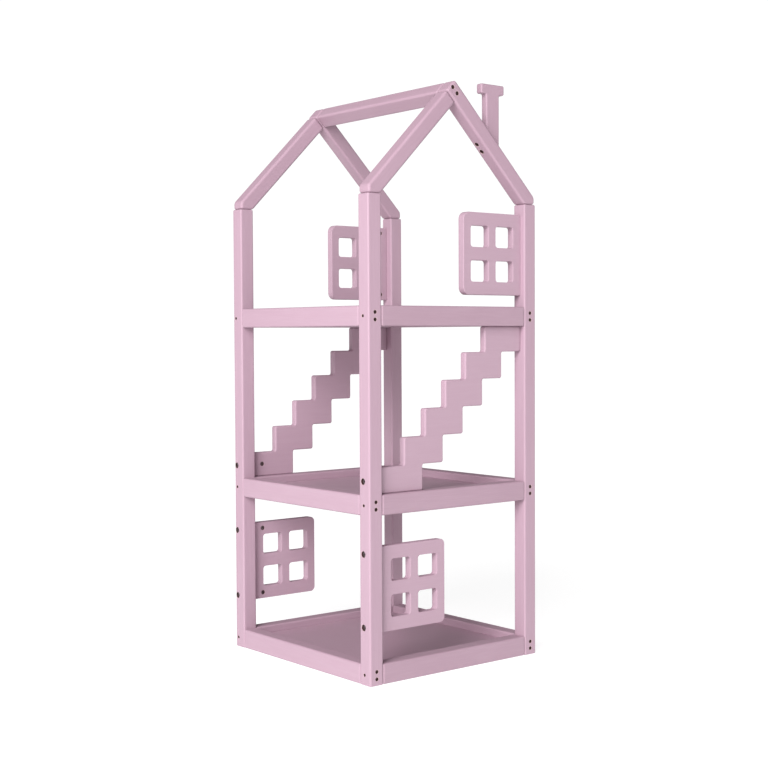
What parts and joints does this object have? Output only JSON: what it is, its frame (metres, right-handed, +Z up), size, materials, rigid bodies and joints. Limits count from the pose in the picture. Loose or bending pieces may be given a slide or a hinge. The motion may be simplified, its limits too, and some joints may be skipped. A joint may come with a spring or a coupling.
{
  "type": "wooden dollhouse",
  "caption": "Open-frame pink wooden dollhouse with corner posts, floors, window and stair boards, a gable roof with a ridge beam, and a chimney.",
  "frame": {"origin": "on the ground, in the middle of the footprint", "axes": "+Z up, +X along the front gable, +Y from the front gable to the rear gable"},
  "size_m": [0.5, 0.528, 1.328],
  "materials": {
    "painted_post": "matte pink paint over wood with a faint grain",
    "painted_rail": "matte pink paint over wood with a faint grain",
    "painted_floor_panel": "matte pink paint over wood with a faint grain",
    "painted_roof_beam": "matte pink paint over wood with a faint grain",
    "painted_board": "matte pink paint over wood with a faint grain",
    "bolt": "zinc plated",
    "nut": "zinc plated",
    "screw": "zinc plated, countersunk"
  },
  "bodies": {
    "root": {"post_front_left": "painted_post", "post_front_right": "painted_post", "post_rear_left": "painted_post", "post_rear_right": "painted_post", "rail_bottom_left": "painted_rail", "rail_bottom_right": "painted_rail", "rail_bottom_front": "painted_rail", "rail_bottom_rear": "painted_rail", "floor_bottom": "painted_floor_panel", "rail_middle_left": "painted_rail", "rail_middle_right": "painted_rail", "rail_middle_front": "painted_rail", "rail_middle_rear": "painted_rail", "floor_middle": "painted_floor_panel", "rail_upper_left": "painted_rail", "rail_upper_right": "painted_rail", "rail_upper_front": "painted_rail", "rail_upper_rear": "painted_rail", "floor_upper": "painted_floor_panel", "rafter_front_left": "painted_roof_beam", "rafter_front_right": "painted_roof_beam", "rafter_rear_left": "painted_roof_beam", "rafter_rear_right": "painted_roof_beam", "ridge_beam": "painted_roof_beam", "chimney": "painted_board", "window_lower_front": "painted_board", "window_upper_front": "painted_board", "stair_front": "painted_board", "window_lower_rear": "painted_board", "window_upper_rear": "painted_board", "stair_rear": "painted_board", "bolt_window_lower_front_low": "bolt", "nut_window_lower_front_low": "nut", "bolt_window_lower_front_high": "bolt", "nut_window_lower_front_high": "nut", "bolt_window_upper_front_low": "bolt", "nut_window_upper_front_low": "nut", "bolt_window_upper_front_high": "bolt", "nut_window_upper_front_high": "nut", "bolt_stair_front_foot": "bolt", "nut_stair_front_foot": "nut", "bolt_stair_front_head": "bolt", "nut_stair_front_head": "nut", "bolt_window_lower_rear_low": "bolt", "nut_window_lower_rear_low": "nut", "bolt_window_lower_rear_high": "bolt", "nut_window_lower_rear_high": "nut", "bolt_window_upper_rear_low": "bolt", "nut_window_upper_rear_low": "nut", "bolt_window_upper_rear_high": "bolt", "nut_window_upper_rear_high": "nut", "bolt_stair_rear_foot": "bolt", "nut_stair_rear_foot": "nut", "bolt_stair_rear_head": "bolt", "nut_stair_rear_head": "nut", "ridge_screw_1": "screw", "ridge_screw_2": "screw", "chimney_screw_1": "screw", "chimney_screw_2": "screw"}
  },
  "joints": []
}
